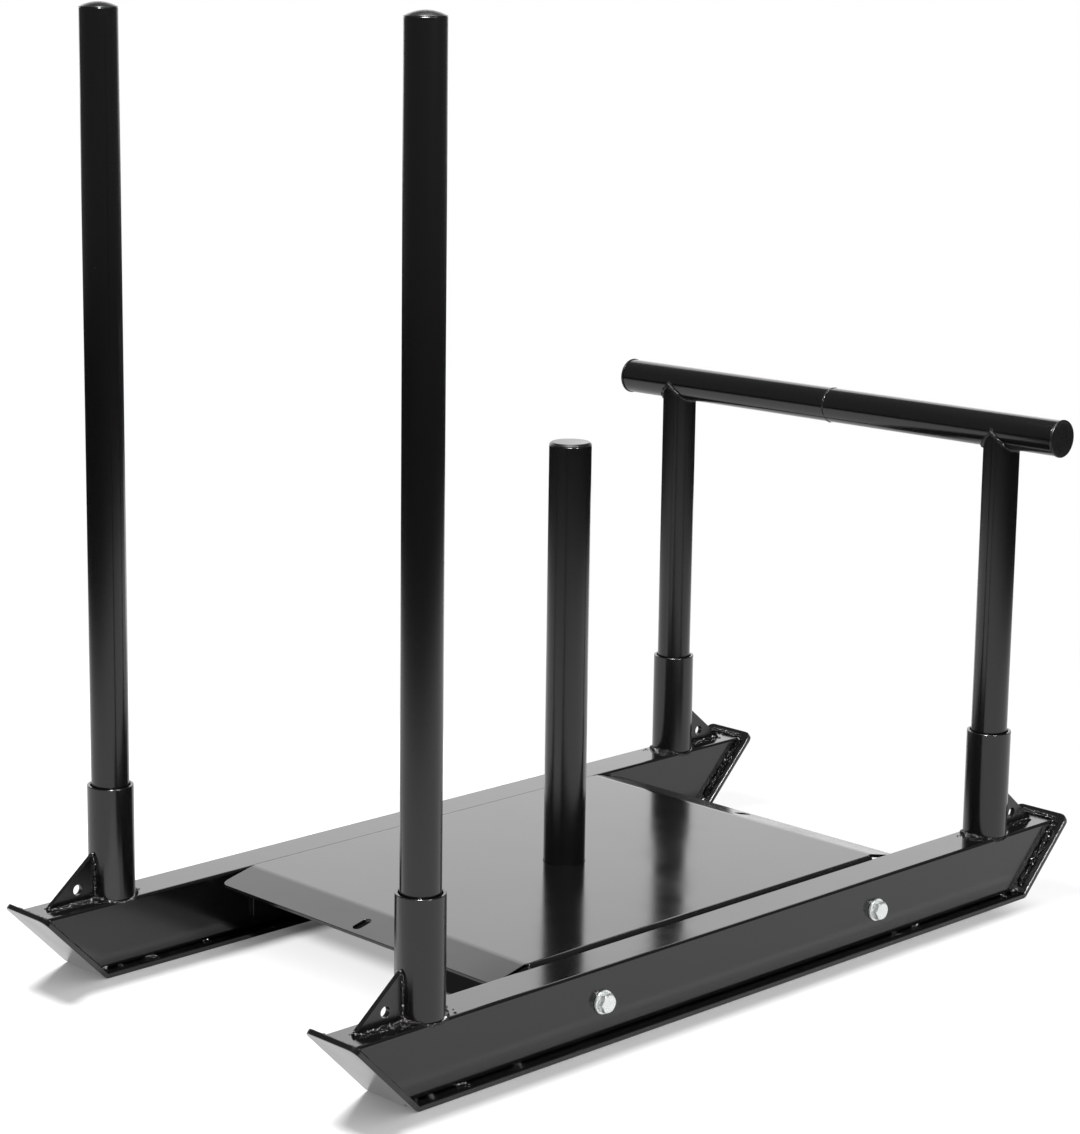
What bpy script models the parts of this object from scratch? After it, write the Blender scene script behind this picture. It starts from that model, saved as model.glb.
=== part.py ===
"""Weight sled: two skid runners, a bolted deck with a weight post, two tall poles and a low push bar.

Metres, +Z up. The origin is on the ground at the centre of the sled. +Y runs along the runners from the
tall poles to the low push bar, and +X points to the right runner.
"""
import math

import bmesh
import bpy
from mathutils import Matrix, Vector

# Fits
WELD_GAP = 0.0003            # left between pieces that are welded, seated or clamped face to face
SOCKET_CLEARANCE = 0.0013    # all round a pole in its socket
BOLT_CLEARANCE = 0.0005      # all round a bolt in its hole
CAP_CLEARANCE = 0.0003       # all round a cap's plug in its tube

# Runner beams: rectangular tube, mitred at both ends
RUNNER_SPACING = 0.510       # centre to centre
BEAM_WIDTH = 0.050
BEAM_HEIGHT = 0.075
BEAM_WALL = 0.003
BEAM_CORNER_RADIUS = 0.005

# Skids: flat strip under each beam, bent up at both ends
SKID_WIDTH = 0.076
SKID_THICKNESS = 0.006
SKID_FLAT_LENGTH = 1.000     # between the two bend lines of the sole
SKID_RAMP_ANGLE = math.radians(45)
SKID_BEND_RADIUS = 0.003     # inside of the bend
SKID_LIP_HEIGHT = 0.0885     # top of the lip above the ground
SKID_LIP_CORNER_RADIUS = 0.010

# Tubes
POLE_DIAMETER = 0.0424       # tall poles, push bar and its legs
POLE_WALL = 0.003
SOCKET_WALL = 0.0035
SOCKET_LENGTH = 0.128
SOCKET_SPACING = 0.926       # along the runner, centre to centre
POLE_TOP_HEIGHT = 1.0615     # top of a tall pole's tube above the ground

# Gussets: drilled triangle between a socket and its beam
GUSSET_THICKNESS = 0.006
GUSSET_HEIGHT = 0.050
GUSSET_REACH = 0.060
GUSSET_TOE = 0.004           # height of the blunt toe, and width of the blunt top
GUSSET_HOLE_DIAMETER = 0.012
GUSSET_HOLE_REACH = 0.023    # from the socket to the hole's centre
GUSSET_HOLE_HEIGHT = 0.0158  # from the beam to the hole's centre

# Push bar
GRIP_OVERHANG = 0.0815       # tube past each leg's axis, without its cap
GRIP_HEIGHT = 0.573          # its axis above the ground

# Deck: bent sheet tray
DECK_THICKNESS = 0.004
DECK_PROUD = 0.0027          # top of the deck above the beams
DECK_FOLD_SPACING = 0.564    # between the two end folds
DECK_SIDE_BEND_RADIUS = 0.006
DECK_SIDE_FLANGE_HEIGHT = 0.062
DECK_END_FLANGE_LENGTH = 0.045
DECK_END_FLANGE_ANGLE = math.radians(13)
DECK_END_BEND_RADIUS = 0.030
DECK_END_CORNER_RADIUS = 0.010
DECK_SLOT_LENGTH = 0.024
DECK_SLOT_WIDTH = 0.011
DECK_SLOT_REACH = 0.032      # from the fold to the slot's centre
SLOT_CUTTER_DEPTH = 0.032

# Weight post: stands in a hole in the deck and is welded to its underside
POST_DIAMETER = 0.0483
POST_WALL = 0.003
POST_TOP_HEIGHT = 0.5743     # top of its tube above the ground

# Caps
POLE_CAP_DOME_HEIGHT = 0.0055
POST_CAP_HEIGHT = 0.003
POST_CAP_BEVEL = 0.0025
GRIP_CAP_DIAMETER = 0.0445
GRIP_CAP_THICKNESS = 0.003
CAP_EDGE_BEVEL = 0.0006
CAP_PLUG_LENGTH = 0.018
CAP_PLUG_WALL = 0.002

# Deck bolts
BOLT_DIAMETER = 0.012
BOLT_SETBACK = 0.056         # from a bolt's axis to the deck's fold
BOLT_HEAD_FLATS = 0.019
BOLT_HEAD_HEIGHT = 0.0075
BOLT_TAIL = 0.004            # shank past the nut
NUT_HEIGHT = 0.010
HEX_CHAMFER_DIAMETER = 0.018   # round face of a head or nut
HEX_CHAMFER_ANGLE = math.radians(30)
WASHER_DIAMETER = 0.026
WASHER_THICKNESS = 0.0025

# Facets
TUBE_SEGMENTS = 32
SMALL_SEGMENTS = 16          # bolt holes
HEX_SIDE_SEGMENTS = 4
SLOT_END_SEGMENTS = 8
DOME_SEGMENTS = 6
LIP_CORNER_SEGMENTS = 5
CORNER_SEGMENTS = 4
BEND_SEGMENTS = 4
SHARP_ANGLE = math.radians(35)
PICK_TOLERANCE = 0.0003      # for picking edges and faces by their place
MERGE_DISTANCE = 0.000001

# Places that follow from the sizes above
RUNNER_X = RUNNER_SPACING / 2
GRIP_LENGTH = RUNNER_SPACING + 2 * GRIP_OVERHANG
BEAM_BOTTOM = SKID_THICKNESS + WELD_GAP
BEAM_TOP = BEAM_BOTTOM + BEAM_HEIGHT
BEAM_MID = BEAM_BOTTOM + BEAM_HEIGHT / 2
BEAM_INNER_X = RUNNER_X - BEAM_WIDTH / 2
BEAM_OUTER_X = RUNNER_X + BEAM_WIDTH / 2
SOCKET_Y = SOCKET_SPACING / 2
SOCKET_BASE = BEAM_TOP + WELD_GAP
SOCKET_RADIUS = POLE_DIAMETER / 2 + SOCKET_CLEARANCE + SOCKET_WALL
POLE_BASE = BEAM_TOP + WELD_GAP
DECK_TOP = BEAM_TOP + DECK_PROUD
DECK_EDGE_X = BEAM_INNER_X - WELD_GAP
DECK_FLANGE_INNER_X = DECK_EDGE_X - DECK_THICKNESS
FOLD_Y = DECK_FOLD_SPACING / 2
POST_BASE = DECK_TOP - DECK_THICKNESS
BOLT_Y = FOLD_Y - BOLT_SETBACK
BOLT_HOLE_DIAMETER = BOLT_DIAMETER + 2 * BOLT_CLEARANCE

SIDES = (("left", -1), ("right", 1))
ENDS = (("pole", -1), ("bar", 1))


def material(name, colour, roughness, metallic):
    finish = bpy.data.materials.new(name)
    finish.use_nodes = True
    shader = finish.node_tree.nodes["Principled BSDF"]
    shader.inputs["Base Color"].default_value = (*colour, 1.0)
    shader.inputs["Roughness"].default_value = roughness
    shader.inputs["Metallic"].default_value = metallic
    return finish


def add_object(name, bm, place, finish=None, parent=None):
    """Turns a finished bmesh into a named object at its place in the world."""
    bmesh.ops.recalc_face_normals(bm, faces=bm.faces)
    mesh = bpy.data.meshes.new(name)
    bm.to_mesh(mesh)
    bm.free()
    mesh.shade_smooth()
    mesh.set_sharp_from_angle(angle=SHARP_ANGLE)
    obj = bpy.data.objects.new(name, mesh)
    bpy.context.scene.collection.objects.link(obj)
    if finish is not None:
        mesh.materials.append(finish)
    if parent is not None:
        obj.parent = parent
        place = parent.matrix_world.inverted() @ place
    obj.matrix_basis = place
    return obj


def joint_axis(name, x, y, z):
    """An empty on a moving body's joint axis, which the body's pieces are parented to."""
    empty = bpy.data.objects.new(name, None)
    empty.location = (x, y, z)
    bpy.context.scene.collection.objects.link(empty)
    bpy.context.view_layer.update()
    return empty


def cut(obj, name, bm, place):
    """Cuts an object with a hidden cutter."""
    cutter = add_object(name, bm, place)
    cutter.hide_render = True
    cutter.display_type = "WIRE"
    boolean = obj.modifiers.new(name, "BOOLEAN")
    boolean.operation = "DIFFERENCE"
    boolean.solver = "EXACT"
    boolean.object = cutter


def arc(centre, radius, start, end, steps):
    """Points of an arc in a plane, its angles in radians."""
    angles = [start + (end - start) * i / steps for i in range(steps + 1)]
    return [(centre[0] + radius * math.cos(a), centre[1] + radius * math.sin(a)) for a in angles]


def rounded_rectangle(width, height, radius, steps=CORNER_SEGMENTS):
    """Outline of a rectangle with round corners, centred on the origin."""
    points = []
    for turn, (sx, sy) in enumerate(((1, 1), (-1, 1), (-1, -1), (1, -1))):
        centre = (sx * (width / 2 - radius), sy * (height / 2 - radius))
        points += arc(centre, radius, turn * math.pi / 2, (turn + 1) * math.pi / 2, steps)
    return points


def add_loop(bm, points):
    """Joins points into a closed loop of edges."""
    verts = [bm.verts.new(p) for p in points]
    return [bm.edges.new((a, b)) for a, b in zip(verts, verts[1:] + verts[:1])]


def verts_of(geometry):
    return [v for v in geometry if isinstance(v, bmesh.types.BMVert)]


def open_edges(geometry):
    return [e for e in geometry if isinstance(e, bmesh.types.BMEdge) and e.is_boundary]


def extruded(bm, outline, depth):
    """Fills a closed outline of 3D points and extrudes it by a vector."""
    face = bm.faces.new([bm.verts.new(p) for p in outline])
    new = bmesh.ops.extrude_face_region(bm, geom=[face])["geom"]
    bmesh.ops.translate(bm, vec=depth, verts=verts_of(new))


def turned(bm, profile, segments, on_axis=False):
    """Spins a profile of (radius, height) points about Z, closed unless it starts and ends on the axis."""
    verts = [bm.verts.new((r, 0, z)) for r, z in profile]
    pairs = list(zip(verts, verts[1:]))
    if not on_axis:
        pairs.append((verts[-1], verts[0]))
    edges = [bm.edges.new(pair) for pair in pairs]
    bmesh.ops.spin(bm, geom=verts + edges, cent=(0, 0, 0), axis=(0, 0, 1), angle=2 * math.pi,
                   steps=segments, use_merge=True)
    bmesh.ops.remove_doubles(bm, verts=bm.verts, dist=MERGE_DISTANCE)


def tube_profile(radius, wall, length, base=0.0):
    return [(radius, base + length), (radius, base), (radius - wall, base), (radius - wall, base + length)]


def at(x, y, z=0.0):
    return Matrix.Translation((x, y, z))


def along_x(x, y, z, side=1):
    """A place where a turned piece lies down, its +Z pointing to the given side along X."""
    return at(x, y, z) @ Matrix.Rotation(side * math.pi / 2, 4, "Y")


def turned_object(name, profile, place, finish, parent=None, on_axis=False):
    bm = bmesh.new()
    turned(bm, profile, TUBE_SEGMENTS, on_axis)
    return add_object(name, bm, place, finish, parent)


def drill(obj, name, diameter, depth, place, segments=SMALL_SEGMENTS):
    """Bores a round hole through an object, the depth measured both ways from its place."""
    bm = bmesh.new()
    radius = diameter / 2
    turned(bm, [(0, depth), (radius, depth), (radius, -depth), (0, -depth)], segments, on_axis=True)
    cut(obj, name, bm, place)


def runner_beam(name, side, finish):
    """Rectangular tube whose ends are mitred to lie against the skid's ramps."""
    bm = bmesh.new()
    blank = SKID_FLAT_LENGTH + 2 * (BEAM_TOP + SKID_THICKNESS) / math.tan(SKID_RAMP_ANGLE)
    outer = rounded_rectangle(BEAM_WIDTH, BEAM_HEIGHT, BEAM_CORNER_RADIUS)
    inner = rounded_rectangle(BEAM_WIDTH - 2 * BEAM_WALL, BEAM_HEIGHT - 2 * BEAM_WALL,
                              BEAM_CORNER_RADIUS - BEAM_WALL)
    rings = [add_loop(bm, [(x, -blank / 2, z) for x, z in outline]) for outline in (outer, inner)]
    end = bmesh.ops.bridge_loops(bm, edges=rings[0] + rings[1])["faces"]
    new = bmesh.ops.extrude_face_region(bm, geom=end)["geom"]
    bmesh.ops.translate(bm, vec=(0, blank, 0), verts=verts_of(new))
    for end_side in (-1, 1):
        ramp_normal = Vector((0, end_side * math.sin(SKID_RAMP_ANGLE), -math.cos(SKID_RAMP_ANGLE)))
        bend_line = Vector((0, end_side * SKID_FLAT_LENGTH / 2, -BEAM_MID))
        bmesh.ops.bridge_loops(bm, edges=trim(bm, bend_line - ramp_normal * (SKID_THICKNESS + WELD_GAP),
                                              ramp_normal))
        half_angle = SKID_RAMP_ANGLE / 2
        bend_normal = Vector((0, end_side * math.sin(half_angle), -math.cos(half_angle)))
        bend_fill = SKID_BEND_RADIUS * (1 / math.cos(half_angle) - 1)
        bend_inside = SKID_THICKNESS / math.cos(half_angle) + bend_fill
        bmesh.ops.edgeloop_fill(bm, edges=trim(bm, bend_line - bend_normal * (bend_inside + WELD_GAP),
                                               bend_normal))
    beam = add_object(name, bm, at(side * RUNNER_X, 0, BEAM_MID), finish)
    for end_name, end_side in ENDS:
        drill(beam, f"{name}_{end_name}_bolt_hole", BOLT_HOLE_DIAMETER, BEAM_WIDTH,
              along_x(side * RUNNER_X, end_side * BOLT_Y, BEAM_MID))


def trim(bm, point, normal):
    """Cuts away what lies past a plane, and gives the edges of the cut."""
    result = bmesh.ops.bisect_plane(bm, geom=bm.verts[:] + bm.edges[:] + bm.faces[:],
                                    dist=MERGE_DISTANCE, plane_co=point, plane_no=normal, clear_outer=True)
    return [e for e in result["geom_cut"] if isinstance(e, bmesh.types.BMEdge)]


def skid_profile():
    """Closed (y, z) outline of the bent strip: along the sole, over one lip, back inside, over the other."""
    outer_radius = SKID_BEND_RADIUS + SKID_THICKNESS
    tangent = outer_radius * math.tan(SKID_RAMP_ANGLE / 2)
    centre_y = SKID_FLAT_LENGTH / 2 - tangent
    rise = SKID_LIP_HEIGHT - SKID_THICKNESS * math.cos(SKID_RAMP_ANGLE)
    lip_y = SKID_FLAT_LENGTH / 2 + rise / math.tan(SKID_RAMP_ANGLE)
    inward = (-SKID_THICKNESS * math.sin(SKID_RAMP_ANGLE), SKID_THICKNESS * math.cos(SKID_RAMP_ANGLE))
    down = -math.pi / 2
    outside = arc((centre_y, outer_radius), outer_radius, down, down + SKID_RAMP_ANGLE, BEND_SEGMENTS)
    inside = arc((centre_y, outer_radius), SKID_BEND_RADIUS, down + SKID_RAMP_ANGLE, down, BEND_SEGMENTS)
    half = outside + [(lip_y, rise), (lip_y + inward[0], rise + inward[1])] + inside
    return half + [(-y, z) for y, z in reversed(half)]


def runner_skid(name, side, finish):
    """Strip bent up at both ends, its lips' corners rounded."""
    bm = bmesh.new()
    extruded(bm, [(-SKID_WIDTH / 2, y, z) for y, z in skid_profile()], (SKID_WIDTH, 0, 0))
    lip_corners = [e for e in bm.edges if is_lip_corner(e)]
    bmesh.ops.bevel(bm, geom=lip_corners, offset=SKID_LIP_CORNER_RADIUS, offset_type="OFFSET",
                    segments=LIP_CORNER_SEGMENTS, profile=0.5, affect="EDGES", material=-1)
    add_object(name, bm, at(side * RUNNER_X, 0), finish)


def is_lip_corner(edge):
    """True for the short edges through the strip's thickness at the four corners of its lips."""
    a, b = (v.co for v in edge.verts)
    reaches_lip = max(a.z, b.z) > SKID_LIP_HEIGHT - PICK_TOLERANCE
    across = abs(a.x - b.x) < PICK_TOLERANCE
    return reaches_lip and across and abs((a - b).length - SKID_THICKNESS) < PICK_TOLERANCE


def gusset(name, side, end_side, finish):
    """Drilled triangle with a blunt toe and a blunt top, standing on the beam against the socket."""
    start = SOCKET_Y + SOCKET_RADIUS + WELD_GAP
    outline = [(start, 0), (start + GUSSET_REACH, 0), (start + GUSSET_REACH, GUSSET_TOE),
               (start + GUSSET_TOE, GUSSET_HEIGHT), (start, GUSSET_HEIGHT)]
    bm = bmesh.new()
    extruded(bm, [(-GUSSET_THICKNESS / 2, end_side * y, z) for y, z in outline], (GUSSET_THICKNESS, 0, 0))
    plate = add_object(name, bm, at(side * RUNNER_X, 0, SOCKET_BASE), finish)
    drill(plate, f"{name}_hook_hole", GUSSET_HOLE_DIAMETER, GUSSET_THICKNESS,
          along_x(side * RUNNER_X, end_side * (start + GUSSET_HOLE_REACH), SOCKET_BASE + GUSSET_HOLE_HEIGHT),
          segments=TUBE_SEGMENTS)


def deck(name, finish):
    """Tray bent from one sheet: side flanges down the beams, and end flanges that slope away."""
    radius = DECK_SIDE_BEND_RADIUS
    flange_bottom = DECK_TOP - DECK_SIDE_FLANGE_HEIGHT
    bend = (DECK_EDGE_X - radius, DECK_TOP - radius)
    outside = [(DECK_EDGE_X, flange_bottom)] + arc(bend, radius, 0, math.pi / 2, BEND_SEGMENTS)
    inside = [(DECK_FLANGE_INNER_X, flange_bottom)] + arc(bend, radius - DECK_THICKNESS, 0, math.pi / 2,
                                                          BEND_SEGMENTS)
    outside += [(-x, z) for x, z in reversed(outside)]
    inside += [(-x, z) for x, z in reversed(inside)]
    bm = bmesh.new()
    rows = [[bm.verts.new((x, -FOLD_Y, z)) for x, z in points] for points in (outside, inside)]
    section = []
    for i in range(len(outside) - 1):
        section.append(bm.faces.new((rows[0][i], rows[0][i + 1], rows[1][i + 1], rows[1][i])))
    new = bmesh.ops.extrude_face_region(bm, geom=section)["geom"]
    bmesh.ops.translate(bm, vec=(0, DECK_FOLD_SPACING, 0), verts=verts_of(new))
    for end_side in (-1, 1):
        end_flange(bm, end_side)
    tray = add_object(name, bm, at(0, 0), finish)
    drill(tray, f"{name}_post_hole", POST_DIAMETER + 2 * WELD_GAP, DECK_THICKNESS * 2, at(0, 0, DECK_TOP),
          segments=TUBE_SEGMENTS)
    for end_name, end_side in ENDS:
        slot(tray, f"{name}_{end_name}_slot", end_side)
        for side_name, side in SIDES:
            drill(tray, f"{name}_{side_name}_{end_name}_bolt_hole", BOLT_HOLE_DIAMETER, DECK_THICKNESS * 2,
                  along_x(side * DECK_EDGE_X, end_side * BOLT_Y, BEAM_MID))


def end_flange(bm, end_side):
    """Bends the flat top's end face down and draws it out, then rounds its two outer corners."""
    ends = [f for f in bm.faces if abs(f.calc_center_median().x) < PICK_TOLERANCE
            and all(abs(v.co.y - end_side * FOLD_Y) < PICK_TOLERANCE for v in f.verts)]
    bend_axis = (0, end_side * FOLD_Y, DECK_TOP - DECK_END_BEND_RADIUS)
    turn = -end_side * DECK_END_FLANGE_ANGLE
    spun = bmesh.ops.spin(bm, geom=ends, cent=bend_axis, axis=(1, 0, 0), angle=turn, steps=BEND_SEGMENTS)
    tip = [g for g in spun["geom_last"] if isinstance(g, bmesh.types.BMFace)]
    bmesh.ops.delete(bm, geom=ends, context="FACES_ONLY")
    slope = Vector((0, end_side * math.cos(DECK_END_FLANGE_ANGLE), -math.sin(DECK_END_FLANGE_ANGLE)))
    new = bmesh.ops.extrude_face_region(bm, geom=tip)["geom"]
    bmesh.ops.delete(bm, geom=tip, context="FACES_ONLY")
    tip_verts = verts_of(new)
    bmesh.ops.translate(bm, vec=slope * DECK_END_FLANGE_LENGTH, verts=tip_verts)
    corners = [e for e in bm.edges if all(v in tip_verts for v in e.verts)
               and abs(e.verts[0].co.x - e.verts[1].co.x) < PICK_TOLERANCE]
    bmesh.ops.bevel(bm, geom=corners, offset=DECK_END_CORNER_RADIUS, offset_type="OFFSET",
                    segments=CORNER_SEGMENTS, profile=0.5, affect="EDGES", material=-1)


def slot(tray, name, end_side):
    """Cuts a round-ended slot along the runner through the middle of an end flange."""
    radius = DECK_SLOT_WIDTH / 2
    straight = (DECK_SLOT_LENGTH - DECK_SLOT_WIDTH) / 2
    outline = arc((0, straight), radius, 0, math.pi, SLOT_END_SEGMENTS)
    outline += arc((0, -straight), radius, math.pi, 2 * math.pi, SLOT_END_SEGMENTS)
    bm = bmesh.new()
    depth = SLOT_CUTTER_DEPTH
    extruded(bm, [(x, y, -depth / 2) for x, y in outline], (0, 0, depth))
    drop = DECK_SLOT_REACH * math.sin(DECK_END_FLANGE_ANGLE)
    place = at(0, end_side * (FOLD_Y + DECK_SLOT_REACH), DECK_TOP - drop)
    cut(tray, name, bm, place @ Matrix.Rotation(-end_side * DECK_END_FLANGE_ANGLE, 4, "X"))


def plug_profile(bore_radius, face):
    """Closes a cap: its outer face, then down and up inside its hollow plug, which fits the tube's bore."""
    plug = bore_radius - CAP_CLEARANCE
    hollow = plug - CAP_PLUG_WALL
    return face + [(plug, WELD_GAP), (plug, -CAP_PLUG_LENGTH), (hollow, -CAP_PLUG_LENGTH), (hollow, WELD_GAP),
                   (0, WELD_GAP)]


def domed_cap_profile():
    """Low dome flush with the tube, from its crown down to its rim."""
    radius = POLE_DIAMETER / 2
    height = POLE_CAP_DOME_HEIGHT
    sphere = (radius ** 2 + height ** 2) / (2 * height)
    spread = math.asin(radius / sphere)
    crown = WELD_GAP + CAP_EDGE_BEVEL + height
    face = []
    for i in range(DOME_SEGMENTS + 1):
        angle = spread * i / DOME_SEGMENTS
        face.append((sphere * math.sin(angle), crown - sphere * (1 - math.cos(angle))))
    face.append((radius, WELD_GAP))
    return plug_profile(radius - POLE_WALL, face)


def bevelled_cap_profile():
    """Flat disc with a broad bevel, flush with the post."""
    radius = POST_DIAMETER / 2
    top = WELD_GAP + POST_CAP_HEIGHT
    face = [(0, top), (radius - POST_CAP_BEVEL, top), (radius, top - POST_CAP_BEVEL), (radius, WELD_GAP)]
    return plug_profile(radius - POST_WALL, face)


def grip_cap_profile():
    """Flat disc that stands a little proud of the grip tube, its edges broken."""
    radius = GRIP_CAP_DIAMETER / 2
    top = WELD_GAP + GRIP_CAP_THICKNESS
    face = [(0, top), (radius - CAP_EDGE_BEVEL, top), (radius, top - CAP_EDGE_BEVEL),
            (radius, WELD_GAP + CAP_EDGE_BEVEL), (radius - CAP_EDGE_BEVEL, WELD_GAP)]
    return plug_profile(POLE_DIAMETER / 2 - POLE_WALL, face)


def push_pole(side_name, side, tube_finish, cap_finish):
    """Tall pole with its cap, loose in its socket and standing on the beam."""
    axis = joint_axis(f"{side_name}_pole_axis", side * RUNNER_X, -SOCKET_Y, POLE_BASE)
    name = f"{side_name}_push_pole"
    turned_object(name, tube_profile(POLE_DIAMETER / 2, POLE_WALL, POLE_TOP_HEIGHT - POLE_BASE),
                  at(side * RUNNER_X, -SOCKET_Y, POLE_BASE), tube_finish, axis)
    turned_object(f"{name}_cap", domed_cap_profile(), at(side * RUNNER_X, -SOCKET_Y, POLE_TOP_HEIGHT),
                  cap_finish, axis, on_axis=True)


def push_bar(tube_finish, cap_finish):
    """Cross tube welded on two coped legs, which stand loose in their sockets."""
    axis = joint_axis("push_bar_axis", 0, SOCKET_Y, POLE_BASE)
    turned_object("push_bar_grip", tube_profile(POLE_DIAMETER / 2, POLE_WALL, GRIP_LENGTH, -GRIP_LENGTH / 2),
                  along_x(0, SOCKET_Y, GRIP_HEIGHT), tube_finish, axis)
    for side_name, side in SIDES:
        leg = turned_object(f"{side_name}_push_bar_leg",
                            tube_profile(POLE_DIAMETER / 2, POLE_WALL, GRIP_HEIGHT - POLE_BASE),
                            at(side * RUNNER_X, SOCKET_Y, POLE_BASE), tube_finish, axis)
        drill(leg, f"{side_name}_leg_cope", POLE_DIAMETER + 2 * WELD_GAP, POLE_DIAMETER,
              along_x(side * RUNNER_X, SOCKET_Y, GRIP_HEIGHT), segments=TUBE_SEGMENTS)
        turned_object(f"{side_name}_push_bar_cap", grip_cap_profile(),
                      along_x(side * GRIP_LENGTH / 2, SOCKET_Y, GRIP_HEIGHT, side), cap_finish, axis,
                      on_axis=True)


def circle(radius, z=0.0):
    """A level ring of points, as many as a hexagon's outline has."""
    return [(x, y, z) for x, y in arc((0, 0), radius, 0, 2 * math.pi, 6 * HEX_SIDE_SEGMENTS)[:-1]]


def hexagon(flats):
    """Outline of a hexagon, measured across its flats, with two corners on the Y axis."""
    start = math.pi / 2
    corners = [Vector((x, y, 0)) for x, y in arc((0, 0), flats / math.sqrt(3), start, start + 2 * math.pi, 6)]
    shares = [i / HEX_SIDE_SEGMENTS for i in range(HEX_SIDE_SEGMENTS)]
    return [a.lerp(b, share) for a, b in zip(corners, corners[1:]) for share in shares]


def hexagon_body(bm, height):
    """Sides of a head or nut and the cone that turns its top corners off. Gives the open base and face rings."""
    base = add_loop(bm, hexagon(BOLT_HEAD_FLATS))
    sides = bmesh.ops.extrude_edge_only(bm, edges=base)["geom"]
    face_radius = HEX_CHAMFER_DIAMETER / 2
    for vert in verts_of(sides):
        vert.co.z = height - (vert.co.length - face_radius) * math.tan(HEX_CHAMFER_ANGLE)
    face = add_loop(bm, circle(face_radius, height))
    bmesh.ops.bridge_loops(bm, edges=open_edges(sides) + face)
    return base, face


def bolt(bm):
    """Hexagon head with the shank under it, the underside of the head at zero."""
    shank = WASHER_THICKNESS * 2 + BEAM_WIDTH + DECK_THICKNESS + NUT_HEIGHT + 5 * WELD_GAP + BOLT_TAIL
    base, face = hexagon_body(bm, BOLT_HEAD_HEIGHT)
    bmesh.ops.edgeloop_fill(bm, edges=face)
    ring = add_loop(bm, circle(BOLT_DIAMETER / 2))
    bmesh.ops.bridge_loops(bm, edges=base + ring)
    drawn = bmesh.ops.extrude_edge_only(bm, edges=ring)["geom"]
    bmesh.ops.translate(bm, vec=(0, 0, -shank), verts=verts_of(drawn))
    bmesh.ops.edgeloop_fill(bm, edges=open_edges(drawn))


def washer(bm):
    hole = BOLT_HOLE_DIAMETER / 2
    turned(bm, tube_profile(WASHER_DIAMETER / 2, WASHER_DIAMETER / 2 - hole, WASHER_THICKNESS), TUBE_SEGMENTS)


def nut(bm):
    """Hexagon nut with a plain bore, its flat base at zero."""
    base, face = hexagon_body(bm, NUT_HEIGHT)
    inward = bmesh.ops.extrude_edge_only(bm, edges=face)["geom"]
    share = BOLT_HOLE_DIAMETER / HEX_CHAMFER_DIAMETER
    bmesh.ops.scale(bm, vec=(share, share, 1), verts=verts_of(inward))
    bore = bmesh.ops.extrude_edge_only(bm, edges=open_edges(inward))["geom"]
    bmesh.ops.translate(bm, vec=(0, 0, -NUT_HEIGHT), verts=verts_of(bore))
    bmesh.ops.bridge_loops(bm, edges=base + open_edges(bore))


def deck_fasteners(finish):
    """Bolt, two washers and nut at each site, from the head outside the beam to the nut inside the deck."""
    inner_washer = -(BEAM_WIDTH + DECK_THICKNESS + WASHER_THICKNESS + 2 * WELD_GAP)
    stack = (("outer_washer", washer, WELD_GAP, 1),
             ("bolt", bolt, WASHER_THICKNESS + 2 * WELD_GAP, 1),
             ("inner_washer", washer, inner_washer, 1),
             ("nut", nut, inner_washer - WELD_GAP, -1))
    for side_name, side in SIDES:
        for end_name, end_side in ENDS:
            for piece_name, make, distance, facing in stack:
                bm = bmesh.new()
                make(bm)
                place = along_x(side * (BEAM_OUTER_X + distance), end_side * BOLT_Y, BEAM_MID, side * facing)
                add_object(f"{side_name}_{end_name}_deck_{piece_name}", bm, place, finish)


def build():
    for obj in list(bpy.data.objects):
        bpy.data.objects.remove(obj, do_unlink=True)

    powder_coat = material("black_powder_coat", (0.018, 0.018, 0.019), 0.32, 0.0)
    deck_coat = material("deck_powder_coat", (0.020, 0.020, 0.021), 0.30, 0.0)
    pole_coat = material("pole_powder_coat", (0.014, 0.014, 0.015), 0.30, 0.0)
    cap_plastic = material("cap_black", (0.035, 0.035, 0.036), 0.40, 0.0)
    zinc = material("zinc_plate", (0.72, 0.74, 0.75), 0.28, 1.0)

    for side_name, side in SIDES:
        runner_beam(f"{side_name}_runner_beam", side, powder_coat)
        runner_skid(f"{side_name}_runner_skid", side, powder_coat)
        for end_name, end_side in ENDS:
            turned_object(f"{side_name}_{end_name}_socket",
                          tube_profile(SOCKET_RADIUS, SOCKET_WALL, SOCKET_LENGTH),
                          at(side * RUNNER_X, end_side * SOCKET_Y, SOCKET_BASE), powder_coat)
            gusset(f"{side_name}_{end_name}_gusset", side, end_side, powder_coat)

    deck("deck", deck_coat)
    turned_object("weight_post", tube_profile(POST_DIAMETER / 2, POST_WALL, POST_TOP_HEIGHT - POST_BASE),
                  at(0, 0, POST_BASE), pole_coat)
    turned_object("weight_post_cap", bevelled_cap_profile(), at(0, 0, POST_TOP_HEIGHT), cap_plastic,
                  on_axis=True)
    deck_fasteners(zinc)

    for side_name, side in SIDES:
        push_pole(side_name, side, pole_coat, cap_plastic)
    push_bar(pole_coat, cap_plastic)


build()
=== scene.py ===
import math
import random

import bmesh
import bpy
from mathutils import Matrix, Vector, noise


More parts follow.
